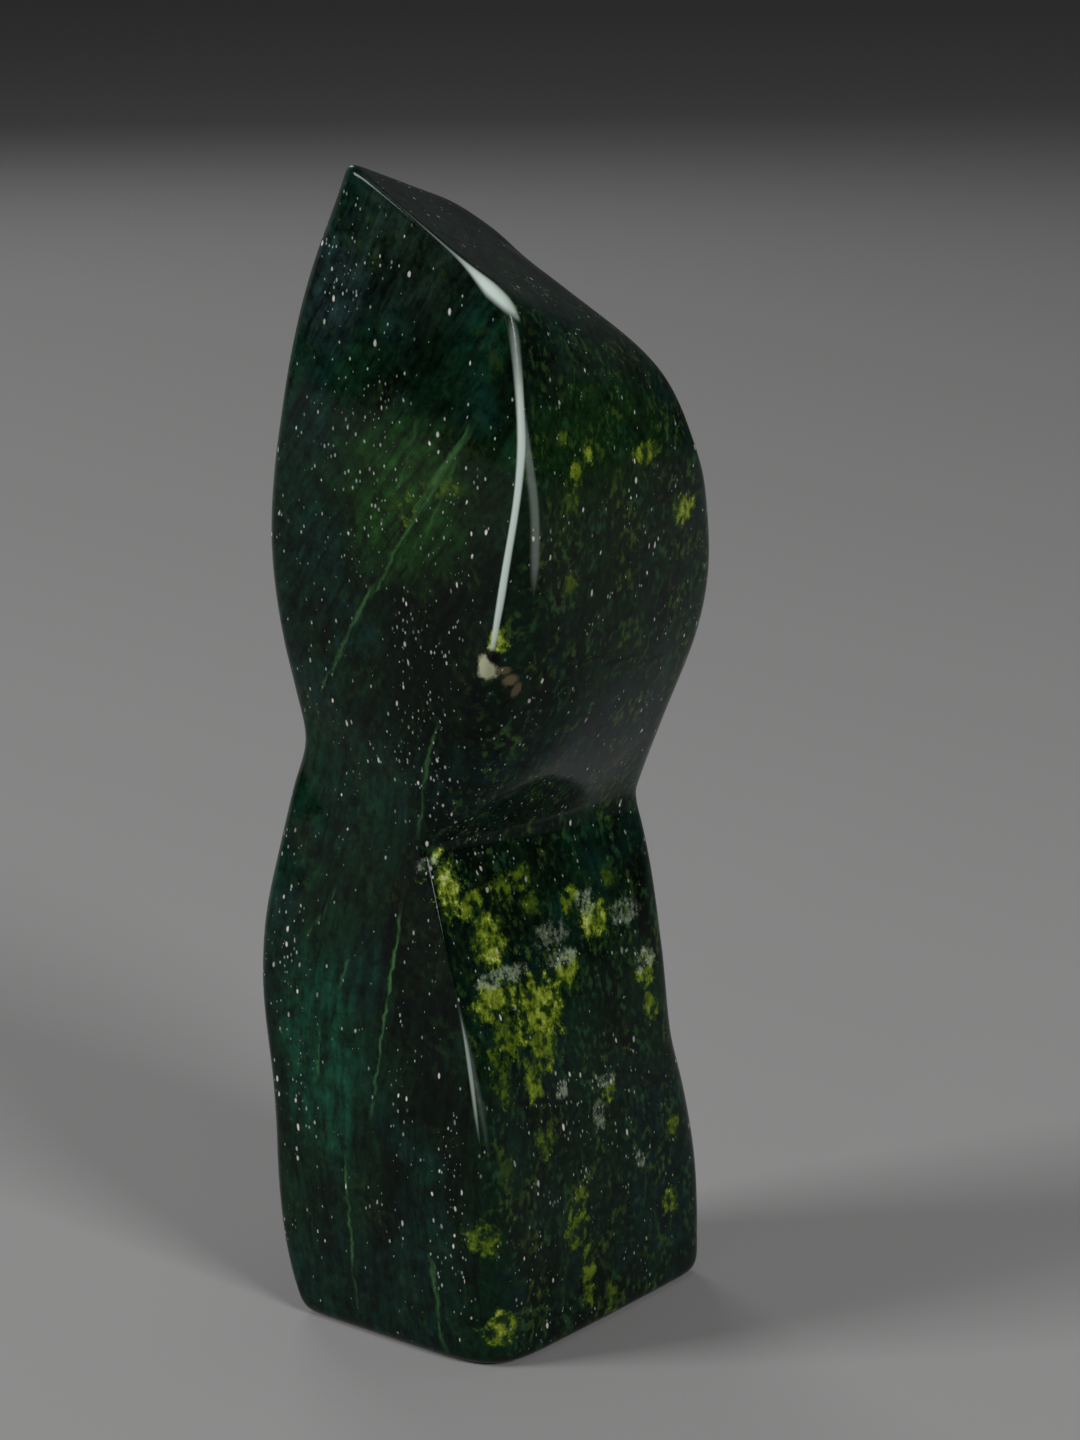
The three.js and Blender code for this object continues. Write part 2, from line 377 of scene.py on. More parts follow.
cad_centre = np.array((stone_low + stone_high) / 2) / MM
shift = cad_centre[:2] - (points.min(0) + points.max(0))[:2] / 2
placed = points + np.array([shift[0], shift[1], 0])
stone_mesh = bpy.data.meshes.new("jade_sculpture")
stone_mesh.from_pydata((placed * MM).tolist(), [], faces)
print("vertices:", len(points), " shift to the CAD box in mm:", shift.round(2))

# %% [markdown]
# ## What the skin knows about itself
# The material paints a pale line along the polished edges. It is mostly a painted highlight, the shine
# that the rounded edges catch, with a little of the paleness of thin nephrite. The rule knows how far
# each vertex is from each edge, and stores it on the mesh as named attributes, in mm. The material reads
# them later. Pointiness could find the edges too, but it would see the small waves of the surface as well.

# %% Store the distances to the edges
def store(name, values):
    attribute = stone_mesh.attributes.new(name, "FLOAT", "POINT")
    attribute.data.foreach_set("value", values.astype(np.float32))
    print(f"{name}: {values.min():.1f} to {values.max():.1f}")


# Half the width in mm of the painted highlight line: on the ridge by height over the groove, on the rim by x.
EDGE_HIGHLIGHT = {
    "front": [[-60, 0.5], [40, 0.5], [56, 0.55], [100, 0.6], [114, 1.1], [126, 2.0], [132, 2.2]],
    "rim": [[-14, 0.35], [14, 0.35], [22, 0.8], [28, 2.0]],
}


def to_edge(outside_one, outside_other):
    """How far points are from the edge of two faces: near it, they are near both."""
    return np.maximum(np.abs(outside_one), np.abs(outside_other))


front = outside_face("front", points)
bevel = outside_face("bevel", points)
right = np.minimum(outside_face("low right", points), outside_face("high right", points))
left = outside_face("left", points)
back = outside_face("back", points)
beside_front = np.maximum.reduce([bevel, right, left, back])
beside_right = np.maximum.reduce([front, left, back])
front_highlight_width = along(EDGE_HIGHLIGHT["front"], above_groove(points))
store("to_front_ridge", to_edge(front, bevel) / front_highlight_width)
store("to_right_ridge", to_edge(right, bevel))
rim_highlight_width = along(EDGE_HIGHLIGHT["rim"], points[..., 0])
store("to_rim", to_edge(over_top(points), front) / rim_highlight_width)
store("to_left_edge", to_edge(front, left))
store("to_back_edge", to_edge(right, back))
store("front_share", np.clip((front - beside_front) / 3 + 0.5, 0, 1))
store("right_share", np.clip((np.maximum(right, bevel) - beside_right) / 3 + 0.5, 0, 1))
store("rise", above_groove(points))

# %% [markdown]
# ## The hand-worked surface
# A polished stone is never quite flat: the wheel leaves shallow waves that make its reflections
# wander. Geometry Nodes add them, because the waves follow one rule over the whole skin: noise pushes
# each vertex along its own normal. The foot is left flat, so that the stone stands. The tree ends in
# Realize Instances and Set Material, and its result is then kept as a plain mesh.

# %% Build the tree of the waves
def add_socket(tree, name, kind, way="INPUT", value=None):
    socket = tree.interface.new_socket(name=name, in_out=way, socket_type="NodeSocket" + kind)
    if value is not None:
        socket.default_value = value
    return socket


def feed(tree, socket, value):
    """Links a socket to another one, or sets it to a plain value."""
    if isinstance(value, bpy.types.NodeSocket):
        tree.links.new(value, socket)
    else:
        socket.default_value = value


def reckon(tree, operation, *values, clamp=False):
    node = tree.nodes.new("ShaderNodeMath")
    node.operation = operation
    node.use_clamp = clamp
    for socket, value in zip(node.inputs, values):
        feed(tree, socket, value)
    return node.outputs["Value"]


def reckon_vector(tree, operation, *values):
    node = tree.nodes.new("ShaderNodeVectorMath")
    node.operation = operation
    sockets = [s for s in node.inputs if s.enabled]
    for socket, value in zip(sockets, values):
        feed(tree, socket, value)
    return next(s for s in node.outputs if s.enabled)


def fade(tree, value, start, end):
    """A soft step from 0 where value is start to 1 where it is end."""
    node = tree.nodes.new("ShaderNodeMapRange")
    node.interpolation_type = "SMOOTHSTEP"
    feed(tree, node.inputs["Value"], value)
    feed(tree, node.inputs["From Min"], start)
    feed(tree, node.inputs["From Max"], end)
    return node.outputs["Result"]


waves = bpy.data.node_groups.new("hand_worked_surface", "GeometryNodeTree")
waves.is_modifier = True
add_socket(waves, "Stone", "Geometry")
wave_inputs = {
    "Wave size": add_socket(waves, "Wave size", "Float", value=0.024),
    "Wave depth": add_socket(waves, "Wave depth", "Float", value=0.0004),
    "Ripple size": add_socket(waves, "Ripple size", "Float", value=0.008),
    "Ripple depth": add_socket(waves, "Ripple depth", "Float", value=0.00008),
    "Seed": add_socket(waves, "Seed", "Float", value=3.0),
    "Finish": add_socket(waves, "Finish", "Material"),
}
add_socket(waves, "Stone", "Geometry", way="OUTPUT")
entry = waves.nodes.new("NodeGroupInput").outputs
position = waves.nodes.new("GeometryNodeInputPosition").outputs["Position"]
normal = waves.nodes.new("GeometryNodeInputNormal").outputs["Normal"]


def swell(size, depth):
    """Noise from minus half the depth to half of it, with waves of about the given size."""
    noise = waves.nodes.new("ShaderNodeTexNoise")
    noise.noise_dimensions = "4D"
    noise.inputs["Detail"].default_value = 1.0
    feed(waves, noise.inputs["Vector"], position)
    feed(waves, noise.inputs["W"], entry["Seed"])
    feed(waves, noise.inputs["Scale"], reckon(waves, "DIVIDE", 1.0, size))
    centred = reckon(waves, "SUBTRACT", noise.outputs["Fac"], 0.5)
    return reckon(waves, "MULTIPLY", centred, depth)


height = reckon(waves, "ADD", swell(entry["Wave size"], entry["Wave depth"]),
                swell(entry["Ripple size"], entry["Ripple depth"]))
parts = waves.nodes.new("ShaderNodeSeparateXYZ")
feed(waves, parts.inputs["Vector"], position)
off_ground = fade(waves, parts.outputs["Z"], 0.0, 0.006)
push = reckon_vector(waves, "SCALE", normal, reckon(waves, "MULTIPLY", height, off_ground))
moved = waves.nodes.new("GeometryNodeSetPosition")
feed(waves, moved.inputs["Geometry"], entry["Stone"])
feed(waves, moved.inputs["Offset"], push)
realized = waves.nodes.new("GeometryNodeRealizeInstances")
feed(waves, realized.inputs["Geometry"], moved.outputs["Geometry"])
finished = waves.nodes.new("GeometryNodeSetMaterial")
feed(waves, finished.inputs["Geometry"], realized.outputs["Geometry"])
feed(waves, finished.inputs["Material"], entry["Finish"])
feed(waves, waves.nodes.new("NodeGroupOutput").inputs["Stone"], finished.outputs["Geometry"])
print("nodes for the waves:", len(waves.nodes))

# %% Work the surface and keep it as a plain mesh
jade = bpy.data.materials.new("polished_nephrite")
stone = bpy.data.objects.new("jade_sculpture", stone_mesh)
bpy.context.scene.collection.objects.link(stone)
working = stone.modifiers.new("hand_worked_surface", "NODES")
working.node_group = waves
working[wave_inputs["Finish"].identifier] = jade
bpy.context.view_layer.update()
worked = stone.evaluated_get(bpy.context.evaluated_depsgraph_get())
plain = bpy.data.meshes.new_from_object(worked)
stone.modifiers.remove(working)
stone.data = plain
bpy.data.meshes.remove(stone_mesh)
plain.name = "jade_sculpture"
for polygon in plain.polygons:
    polygon.use_smooth = True
plain.calc_loop_triangles()
print("triangles in the stone:", len(plain.loop_triangles))

# %% [markdown]
# ## The jade, layer by layer
# Nephrite is a felt of fine fibres. Seen close, the polished stone has a nearly black green ground
# with clouds of emerald, teal and blue, lime green patches where the iron is low, thin pale veins,
# and hundreds of pale grains that lie in upright streams. Some marks are painted light: painted
# sheen and painted reflections on the scoop, under the top and under the overhang, painted
# highlights along the edges, and a spot of painted shade. An image could show all of it, but only
# from one side. So each kind of mark is a small node group that works in the stone's own space in
# millimetres, and the marks run through the block from face to face, as they do in the real stone.

# %% Start a shader node group
def start_group(name, inputs, outputs):
    group = bpy.data.node_groups.new(name, "ShaderNodeTree")
    for socket_name, kind, value in inputs:
        add_socket(group, socket_name, kind, value=value)
    for socket_name in outputs:
        add_socket(group, socket_name, "Float", way="OUTPUT")
    entry = group.nodes.new("NodeGroupInput").outputs
    leaving = group.nodes.new("NodeGroupOutput").inputs
    return group, entry, leaving


def use(tree, group, **values):
    """Places a node group. An underscore in a keyword stands for a space in the input's name."""
    node = tree.nodes.new("ShaderNodeGroup")
    node.node_tree = group
    for name, value in values.items():
        feed(tree, node.inputs[name.replace("_", " ")], value)
    return node.outputs


def texture(tree, kind, place, scale, **settings):
    node = tree.nodes.new(kind)
    feed(tree, node.inputs["Vector"], place)
    feed(tree, node.inputs["Scale"], scale)
    for name, value in settings.items():
        feed(tree, node.inputs[name], value)
    return node.outputs


# %% [markdown]
# ### Clouds
# A cloud is soft noise that is cut off below one value and full above another. Stretch makes it
# longer upwards, because the fibres of this block run nearly upright.

# %% Make the group for clouds
cloud, entry, leaving = start_group("cloud", [
    ("Place", "Vector", (0, 0, 0)), ("Size", "Float", 10.0), ("Stretch", "Float", 1.0),
    ("Detail", "Float", 2.0), ("None at", "Float", 0.4), ("Full at", "Float", 0.6),
    ("Seed", "Float", 0.0)], ["Mask"])
upright = cloud.nodes.new("ShaderNodeCombineXYZ")
feed(cloud, upright.inputs["X"], 1.0)
feed(cloud, upright.inputs["Y"], 1.0)
feed(cloud, upright.inputs["Z"], reckon(cloud, "DIVIDE", 1.0, entry["Stretch"]))
squeezed = reckon_vector(cloud, "MULTIPLY", entry["Place"], upright.outputs["Vector"])
shifted = reckon_vector(cloud, "ADD", squeezed, reckon(cloud, "MULTIPLY", entry["Seed"], 137.0))
soft = texture(cloud, "ShaderNodeTexNoise", shifted, reckon(cloud, "DIVIDE", 1.0, entry["Size"]),
               Detail=entry["Detail"])
feed(cloud, leaving["Mask"], fade(cloud, soft["Fac"], entry["None at"], entry["Full at"]))
print("cloud:", len(cloud.nodes), "nodes")

# %% [markdown]
# ### Grains
# A grain is a small, pale crystal. Voronoi cells scatter points through the stone, each grain is a
# ball round its point, and the cell's random colour decides how large the grain is and whether it is
# there at all. Where Amount is higher, more cells have one.

# %% Make the group for grains
grain, entry, leaving = start_group("grain", [
    ("Place", "Vector", (0, 0, 0)), ("Spacing", "Float", 4.0), ("Stretch", "Float", 1.5),
    ("Radius", "Float", 0.3), ("Amount", "Float", 0.5)], ["Mask", "Tint"])
upright = grain.nodes.new("ShaderNodeCombineXYZ")
feed(grain, upright.inputs["X"], 1.0)
feed(grain, upright.inputs["Y"], 1.0)
feed(grain, upright.inputs["Z"], reckon(grain, "DIVIDE", 1.0, entry["Stretch"]))
squeezed = reckon_vector(grain, "MULTIPLY", entry["Place"], upright.outputs["Vector"])
cells = texture(grain, "ShaderNodeTexVoronoi", squeezed,
                reckon(grain, "DIVIDE", 1.0, entry["Spacing"]))
chance = grain.nodes.new("ShaderNodeSeparateColor")
feed(grain, chance.inputs["Color"], cells["Color"])
is_there = reckon(grain, "LESS_THAN", chance.outputs["Red"], entry["Amount"])
share = reckon(grain, "MULTIPLY_ADD", chance.outputs["Green"], 0.7, 0.3)
radius = reckon(grain, "MULTIPLY", share, entry["Radius"])
core = reckon(grain, "MULTIPLY", radius, 0.55)
ball = fade(grain, cells["Distance"], radius, core)
feed(grain, leaving["Mask"], reckon(grain, "MULTIPLY", ball, is_there))
feed(grain, leaving["Tint"], chance.outputs["Blue"])
print("grain:", len(grain.nodes), "nodes")

# %% [markdown]
# ### Patches
# A patch is an egg-shaped spot in the stone, known by its centre and its reach to each side. Its
# border is soft, or crumbled by a fine noise, as mineral patches are.

# %% Make the group for patches
patch, entry, leaving = start_group("patch", [
    ("Place", "Vector", (0, 0, 0)), ("Centre", "Vector", (0, 0, 0)),
    ("Reach", "Vector", (10, 10, 10)), ("Softness", "Float", 0.3), ("Crumbs", "Float", 0.5),
    ("Raggedness", "Float", 0.0)], ["Mask"])
offset = reckon_vector(patch, "SUBTRACT", entry["Place"], entry["Centre"])
away = reckon_vector(patch, "LENGTH", reckon_vector(patch, "DIVIDE", offset, entry["Reach"]))
ragged_by = reckon(patch, "MULTIPLY", reckon(patch, "SUBTRACT", entry["Crumbs"], 0.5), entry["Raggedness"])
away = reckon(patch, "SUBTRACT", away, ragged_by)
outer = reckon(patch, "ADD", 1.0, entry["Softness"])
inner = reckon(patch, "SUBTRACT", 1.0, entry["Softness"])
feed(patch, leaving["Mask"], fade(patch, away, outer, inner))
print("patch:", len(patch.nodes), "nodes")

# %% [markdown]
# ### Veins
# A vein in the front face is a line that climbs through three points. The group turns a height into
# the vein's own sideways place there, and is full where the stone is near that place.

# %% Make the group for veins
vein, entry, leaving = start_group("vein", [
    ("Place", "Vector", (0, 0, 0)), ("Low end", "Float", 0.0), ("High end", "Float", 10.0),
    ("Low across", "Float", 0.0), ("Middle across", "Float", 0.0), ("High across", "Float", 0.0),
    ("Width", "Float", 1.0)], ["Mask"])
parts = vein.nodes.new("ShaderNodeSeparateXYZ")
feed(vein, parts.inputs["Vector"], entry["Place"])
climbed = reckon(vein, "SUBTRACT", parts.outputs["Z"], entry["Low end"])
length = reckon(vein, "SUBTRACT", entry["High end"], entry["Low end"])
t = reckon(vein, "DIVIDE", climbed, length)
back_t = reckon(vein, "SUBTRACT", 1.0, t)
low_weight = reckon(vein, "MULTIPLY", back_t, reckon(vein, "MULTIPLY_ADD", t, -2.0, 1.0))
middle_weight = reckon(vein, "MULTIPLY", 4.0, reckon(vein, "MULTIPLY", t, back_t))
high_weight = reckon(vein, "MULTIPLY", t, reckon(vein, "MULTIPLY_ADD", t, 2.0, -1.0))
across = reckon(vein, "MULTIPLY", low_weight, entry["Low across"])
across = reckon(vein, "MULTIPLY_ADD", middle_weight, entry["Middle across"], across)
across = reckon(vein, "MULTIPLY_ADD", high_weight, entry["High across"], across)
aside = reckon(vein, "ABSOLUTE", reckon(vein, "SUBTRACT", parts.outputs["X"], across))
line = fade(vein, aside, entry["Width"], 0.0)
ends = fade(vein, reckon(vein, "MINIMUM", t, back_t), 0.0, 0.2)
feed(vein, leaving["Mask"], reckon(vein, "MULTIPLY", line, ends))
print("vein:", len(vein.nodes), "nodes")

# %% [markdown]
# ### The ground colour
# The material starts from the stone's own space in mm. The fibres of this block fan out: near the foot
# they stand upright, and above the waist they lean to the right. A Float Curve turns the height into
# how far the fibres have drifted sideways, and streaks read the place with that drift taken off.

# %% Read the place and bend it
jade.use_nodes = True
tree = jade.node_tree
shader = tree.nodes["Principled BSDF"]
coordinates = tree.nodes.new("ShaderNodeTexCoord")
place = reckon_vector(tree, "SCALE", coordinates.outputs["Object"], 1 / MM)


def bend(place, size, amount):
    """Moves a place by up to about half the amount, in mm, by noise of the given size."""
    colour = texture(tree, "ShaderNodeTexNoise", place, 1 / size, Detail=1.0)["Color"]
    centred = reckon_vector(tree, "SUBTRACT", colour, (0.5, 0.5, 0.5))
    return reckon_vector(tree, "ADD", place, reckon_vector(tree, "SCALE", centred, amount))


def mix(share, under, over, way="MIX"):
    node = tree.nodes.new("ShaderNodeMix")
    node.data_type = "RGBA"
    node.blend_type = way
    sockets = [s for s in node.inputs if s.enabled]
    feed(tree, sockets[0], share)
    feed(tree, sockets[1], under)
    feed(tree, sockets[2], over)
    return next(s for s in node.outputs if s.enabled)


def read(name):
    node = tree.nodes.new("ShaderNodeAttribute")
    node.attribute_name = name
    return node.outputs["Fac"]


def strongest(masks):
    result = masks[0]
    for mask in masks[1:]:
        result = reckon(tree, "MAXIMUM", result, mask)
    return result


def times(*values):
    result = values[0]
    for value in values[1:]:
        result = reckon(tree, "MULTIPLY", result, value)
    return result


DRIFT = [(0, 4), (45, 1), (75, 3), (105, 8), (125, 13), (140, 19), (160, 32), (185, 51), (205, 67), (253, 92)]
DRIFT_RANGE = 100.0   # mm
HEIGHT_RANGE = 253.0  # mm
height_parts = tree.nodes.new("ShaderNodeSeparateXYZ")
feed(tree, height_parts.inputs["Vector"], place)
drift = tree.nodes.new("ShaderNodeFloatCurve")
feed(tree, drift.inputs["Value"], reckon(tree, "DIVIDE", height_parts.outputs["Z"], HEIGHT_RANGE))
drift_curve = drift.mapping.curves[0]
for knot_height, _ in DRIFT[1:-1]:
    drift_curve.points.new(knot_height / HEIGHT_RANGE, 0.5)
for point, (knot_height, sideways) in zip(drift_curve.points, DRIFT):
    point.location = (knot_height / HEIGHT_RANGE, sideways / DRIFT_RANGE)
drift.mapping.update()
drift_back = tree.nodes.new("ShaderNodeCombineXYZ")
feed(tree, drift_back.inputs["X"], reckon(tree, "MULTIPLY", drift.outputs["Value"], -DRIFT_RANGE))
fibre_place = reckon_vector(tree, "ADD", bend(place, 9.0, 2.5), drift_back.outputs["Vector"])
widely_bent = bend(place, 22.0, 14.0)
slightly_bent = bend(place, 5.0, 1.6)
on_front = read("front_share")
on_right = read("right_share")
crumbs = texture(tree, "ShaderNodeTexNoise", place, 1 / 3.2, Detail=5.0, Roughness=0.78)["Fac"]
print("places and masks are ready")

# %% Lay the large tones
BLACK_GREEN = (0.0008, 0.0034, 0.0016, 1)
DEEP_GREEN = (0.0016, 0.0110, 0.0046, 1)
TEAL = (0.0018, 0.0130, 0.0095, 1)
TONE_DEPTH = 0.5
TONES = {
    "black middle": ((17, -40, 160), (14, 30, 46), (0.0012, 0.0040, 0.0020, 1), 0.9),
    "black below": ((8, -38, 92), (9, 30, 36), (0.0015, 0.0050, 0.0022, 1), 0.85),
    "teal left edge": ((-30, -36, 185), (12, 30, 50), (0.0040, 0.0230, 0.0150, 1), 0.6),
    "blue haze": ((-13, -38, 227), (8, 30, 12), (0.0220, 0.0420, 0.0460, 1), 0.6),
    "grey under the rim": ((7, -37, 236), (17, 30, 15), (0.0120, 0.0230, 0.0170, 1), 0.7),
    "green heart": ((8, -40, 186), (16, 30, 15), (0.0120, 0.0600, 0.0080, 1), 0.75),
    # Painted reflection: the upward-facing scoop at the waist is painted paler teal green, as the light from above
    # mirrored in it.
    "painted sheen in the scoop": ((-14, -34, 122), (17, 30, 13), (0.0040, 0.0260, 0.0140, 1), 0.9),
    "emerald": ((-19, -38, 61), (9, 30, 24), (0.0050, 0.0560, 0.0300, 1), 0.8),
    "dark foot": ((-2, -38, 14), (24, 30, 16), (0.0025, 0.0150, 0.0110, 1), 0.7),
    "upper olive": ((36, -14, 190), (30, 24, 20), (0.0070, 0.0340, 0.0040, 1), 0.8),
    "upper right green": ((37, -12, 172), (30, 22, 16), (0.0020, 0.0130, 0.0030, 1), 0.7),
    # Painted sheen: a grey veil painted on the soft rounded edge under the top.
    "painted sheen under the top": ((33, -4, 213), (30, 24, 6), (0.0180, 0.0330, 0.0200, 1), 0.6),
    # Painted reflection: the underside of the overhang is painted blue and teal, as the floor mirrored in it.
    "blue overhang": ((26, 3, 130), (30, 22, 14), (0.0030, 0.0150, 0.0190, 1), 0.9),
    "teal overhang": ((24, -25, 127), (30, 12, 12), (0.0050, 0.0240, 0.0200, 1), 0.7),
    "teal low right": ((25, 26, 28), (30, 14, 24), (0.0035, 0.0200, 0.0170, 1), 0.85),
    "green low right": ((27, -10, 34), (30, 20, 20), (0.0050, 0.0190, 0.0090, 1), 0.5),
}
broad = use(tree, cloud, Place=fibre_place, Size=16.0, Stretch=3.0, None_at=0.36, Full_at=0.62, Seed=1.0)["Mask"]
teal_cloud = use(tree, cloud, Place=place, Size=15.0, Stretch=1.6, None_at=0.45, Full_at=0.6, Seed=2.0)["Mask"]
colour = mix(broad, BLACK_GREEN, DEEP_GREEN)
colour = mix(times(teal_cloud, 0.7), colour, TEAL)
for name, (centre, reach, tone, strength) in TONES.items():
    mask = use(tree, patch, Place=widely_bent, Centre=centre, Reach=reach, Softness=0.45,
               Crumbs=crumbs, Raggedness=0.6)["Mask"]
    colour = mix(times(mask, strength), colour, [channel * TONE_DEPTH for channel in tone[:3]] + [1])
print("large tones:", len(TONES))

# %% [markdown]
# ### Fibres and moss
# On the front the felt of fibres shows as fine streaks. On the right face the block is cut across the
# fibres, so the same felt shows as a mossy crumb of pale green dots with dark gaps.

# %% Break the ground up
def spread(value, low, high):
    """Maps a noise, which stays near its middle, onto the range from low to high."""
    node = tree.nodes.new("ShaderNodeMapRange")
    feed(tree, node.inputs["Value"], value)
    node.inputs["From Min"].default_value = 0.32
    node.inputs["From Max"].default_value = 0.68
    node.inputs["To Min"].default_value = low
    node.inputs["To Max"].default_value = high
    return node.outputs["Result"]


streak_place = reckon_vector(tree, "MULTIPLY", fibre_place, (1, 1, 0.16))
streaks = texture(tree, "ShaderNodeTexNoise", streak_place, 1 / 2.2, Detail=4.0, Roughness=0.7)["Fac"]
mottle = texture(tree, "ShaderNodeTexNoise", place, 1 / 4.0, Detail=5.0, Roughness=0.75)["Fac"]
colour = reckon_vector(tree, "SCALE", colour, spread(mottle, 0.25, 2.1))
fibre_light = reckon(tree, "MULTIPLY_ADD", reckon(tree, "SUBTRACT", spread(streaks, 0.25, 1.9), 1.0), on_front, 1.0)
colour = reckon_vector(tree, "SCALE", colour, fibre_light)
moss = use(tree, cloud, Place=place, Size=1.7, Stretch=1.2, Detail=4.0, None_at=0.47, Full_at=0.68, Seed=3.0)["Mask"]
moss_area = use(tree, cloud, Place=place, Size=7.0, Detail=3.0, None_at=0.42, Full_at=0.6, Seed=4.0)["Mask"]
moss_share = times(moss, reckon(tree, "MULTIPLY_ADD", moss_area, 0.8, 0.2), reckon(tree, "MULTIPLY_ADD", on_right, 0.62, 0.16))
moss_tint = mix(use(tree, cloud, Place=place, Size=12.0, Seed=7.0)["Mask"], (0.014, 0.060, 0.024, 1), (0.050, 0.100, 0.014, 1))
colour = mix(moss_share, colour, moss_tint)
print("nodes so far:", len(tree.nodes))

# %% [markdown]
# ### Lime patches
# Below the crease the right face opens into lime green patches with paler hearts. Each is listed by
# where it lies, how far it reaches and how bright it is.

# %% Lay the lime patches
LIME = {
    "at the crease": ((11.0, -31.2, 103.6), (6, 3.2, 6.0), 1.0),
    "under the crease": ((15.7, -23.5, 91.0), (6, 4.8, 5.5), 0.85),
    "between them": ((13.5, -26.0, 98.5), (6, 4.0, 3.5), 0.6),
    "crease olive": ((12.8, -15.5, 99.5), (6, 4.0, 2.8), 0.5),
    "crease olive right": ((12.6, -9.0, 101.0), (6, 3.5, 2.6), 0.45),
    "dim olive": ((14.5, -7.0, 94.5), (6, 4.0, 2.8), 0.35),
    "upper green": ((15.2, 5.2, 92.5), (6, 3.8, 2.8), 0.55),
    "upper yellow": ((16.7, 12.5, 87.5), (6, 5.0, 4.0), 0.85),
    "great patch": ((20.8, -12.5, 73.5), (7, 7.6, 6.8), 0.8),
    "great patch low": ((22.0, -14.0, 66.5), (7, 4.6, 5.4), 0.65),
    "great patch wing": ((19.4, -25.5, 78.6), (7, 6.4, 4.0), 0.75),
    "wing low": ((21.5, -24.5, 72.0), (7, 4.4, 5.6), 0.5),
    "under the wing": ((22.6, -29.0, 64.5), (7, 3.0, 7.0), 0.4),
    "under the great patch": ((23.6, -18.5, 60.0), (7, 3.6, 4.4), 0.6),
    "middle pale": ((18.9, -0.6, 79.4), (6, 4.0, 3.4), 0.7),
    "back olive": ((14.5, 19.0, 95.5), (6, 4.0, 3.0), 0.35),
    "far pale": ((19.2, 27.4, 72.5), (6, 3.6, 3.6), 0.7),
    "far streak": ((20.4, 27.5, 64.5), (6, 3.0, 3.2), 0.5),
    "low middle": ((26.4, -17.9, 46.7), (6, 3.5, 4.0), 0.4),
    "low front": ((27.2, -32.5, 45.2), (6, 2.6, 4.5), 0.3),
    "low pale dot": ((24.9, 7.5, 51.0), (6, 2.2, 2.2), 0.7),
    "low centre": ((27.5, -7.7, 31.6), (6, 3.0, 3.0), 0.55),
    "low back": ((26.4, 27.5, 20.5), (6, 3.0, 3.0), 0.6),
    "middle back": ((24.3, 31.0, 36.0), (6, 3.0, 3.0), 0.5),
    "foot streak": ((28.4, -5.0, 13.0), (6, 2.4, 7.0), 0.5),
    "foot cluster": ((28.2, -9.1, 24.8), (6, 4.0, 4.0), 0.45),
    "foot front": ((27.0, -33.0, 9.0), (6, 3.0, 3.6), 0.75),
    "foot back streak": ((28.5, 3.0, 6.0), (6, 2.4, 5.0), 0.4),
    "front edge green": ((26.0, -37.0, 30.4), (6, 2.6, 3.6), 0.45),
    "high dot": ((37.7, -21.6, 191.8), (6, 2.2, 2.2), 0.6),
    "high dot above": ((37.1, -25.8, 199.7), (6, 2.2, 2.0), 0.45),
    "high pale": ((37.2, -17.7, 195.0), (6, 2.0, 1.6), 0.65),
    "high right": ((35.6, 4.5, 192.6), (6, 4.6, 2.4), 0.6),
    "high right edge": ((33.6, 20.0, 178.7), (6, 4.5, 3.0), 0.75),
    "high middle": ((37.1, -23.0, 169.1), (6, 3.0, 3.0), 0.35),
    "high left": ((38.0, -24.5, 186.5), (6, 3.0, 2.4), 0.4),
    "front lime": ((8.5, -40.6, 184.5), (2.6, 6, 3.2), 0.5),
    "front lime high": ((17.0, -40.3, 189.5), (4.5, 6, 3.0), 0.3),
    "ridge end": ((31.0, -38.9, 159.8), (1.8, 4, 2.4), 0.85),
}
lime_masks = []
for name, (centre, reach, strength) in LIME.items():
    mask = use(tree, patch, Place=slightly_bent, Centre=centre, Reach=reach, Softness=0.5,
               Crumbs=crumbs, Raggedness=3.4)["Mask"]
    lime_masks.append(times(mask, strength))
lime = strongest(lime_masks)
gaps = use(tree, cloud, Place=place, Size=2.6, Detail=4.0, None_at=0.36, Full_at=0.56, Seed=9.0)["Mask"]
lime = times(lime, reckon(tree, "MULTIPLY_ADD", gaps, 0.75, 0.25))
lime_light = times(lime, spread(crumbs, 0.25, 1.35))
ramp = tree.nodes.new("ShaderNodeValToRGB")
feed(tree, ramp.inputs["Fac"], lime_light)
LIME_COLOURS = [(0.0, (0.003, 0.016, 0.003, 1)), (0.25, (0.030, 0.065, 0.006, 1)),
                (0.55, (0.130, 0.185, 0.010, 1)), (0.82, (0.300, 0.370, 0.040, 1)),
                (1.0, (0.560, 0.640, 0.220, 1))]
ramp.color_ramp.elements[1].position = LIME_COLOURS[-1][0]
for position_on_ramp, _ in LIME_COLOURS[1:-1]:
    ramp.color_ramp.elements.new(position_on_ramp)
for element, (_, shade) in zip(ramp.color_ramp.elements, LIME_COLOURS):
    element.color = shade
colour = mix(fade(tree, lime, 0.02, 0.4), colour, ramp.outputs["Color"])
print("lime patches:", len(LIME))

# %% [markdown]
# ### Veins in the front
# Thin pale veins climb the front, most of them nearly upright. Each is listed by the heights of its
# two ends, by how far across it lies at the low end, the middle and the high end, and by its width.

